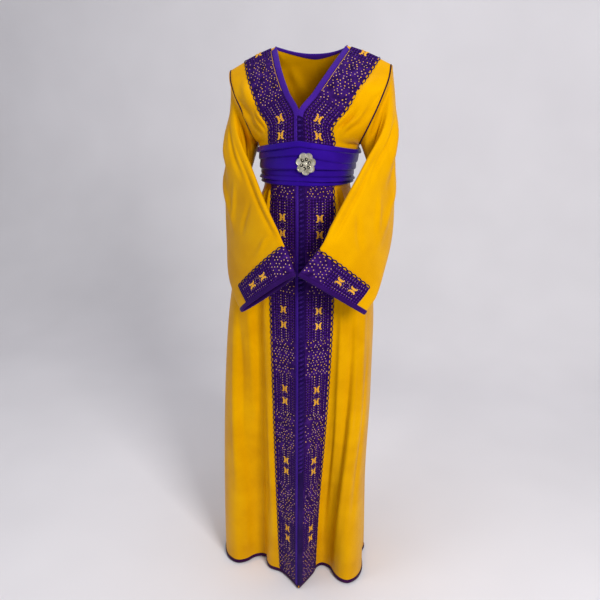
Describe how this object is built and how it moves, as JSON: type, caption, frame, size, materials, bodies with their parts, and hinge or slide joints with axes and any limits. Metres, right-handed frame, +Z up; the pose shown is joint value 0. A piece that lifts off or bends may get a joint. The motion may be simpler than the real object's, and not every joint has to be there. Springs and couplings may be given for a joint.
{
  "type": "caftan with sash",
  "caption": "Long open-fronted caftan, worn shape: V neck, wide sleeves meeting in front, embroidered front bands and cuffs, braided closure, draped sash with a brooch.",
  "frame": {"origin": "midway between the two shoulder seams' neck points, where the wearer's shoulders carry the garment", "axes": "+Z up, -Y the garment's front, +X the viewer's right when looking at the front"},
  "size_m": [0.4741, 0.4301, 1.439],
  "materials": {
    "satin": "golden mustard crepe-backed satin with a soft sheen",
    "embroidery": "dense purple thread embroidery with pale gold dots",
    "binding": "violet satin tape",
    "sash": "deep violet satin, folded lengthwise",
    "piping": "dark purple corded piping",
    "silver": "worn silver-coloured cast metal"
  },
  "bodies": {
    "root": {"front_left": "satin", "front_right": "satin", "back": "satin", "sleeve_left": "satin", "sleeve_right": "satin", "front_band_left": "embroidery", "front_band_right": "embroidery", "cuff_band_left": "embroidery", "cuff_band_right": "embroidery", "closure": "embroidery", "neck_binding": "binding", "hem_binding": "binding", "cuff_binding_left": "binding", "cuff_binding_right": "binding", "armhole_piping_left": "piping", "armhole_piping_right": "piping", "sash": "sash", "brooch": "silver"}
  },
  "joints": []
}
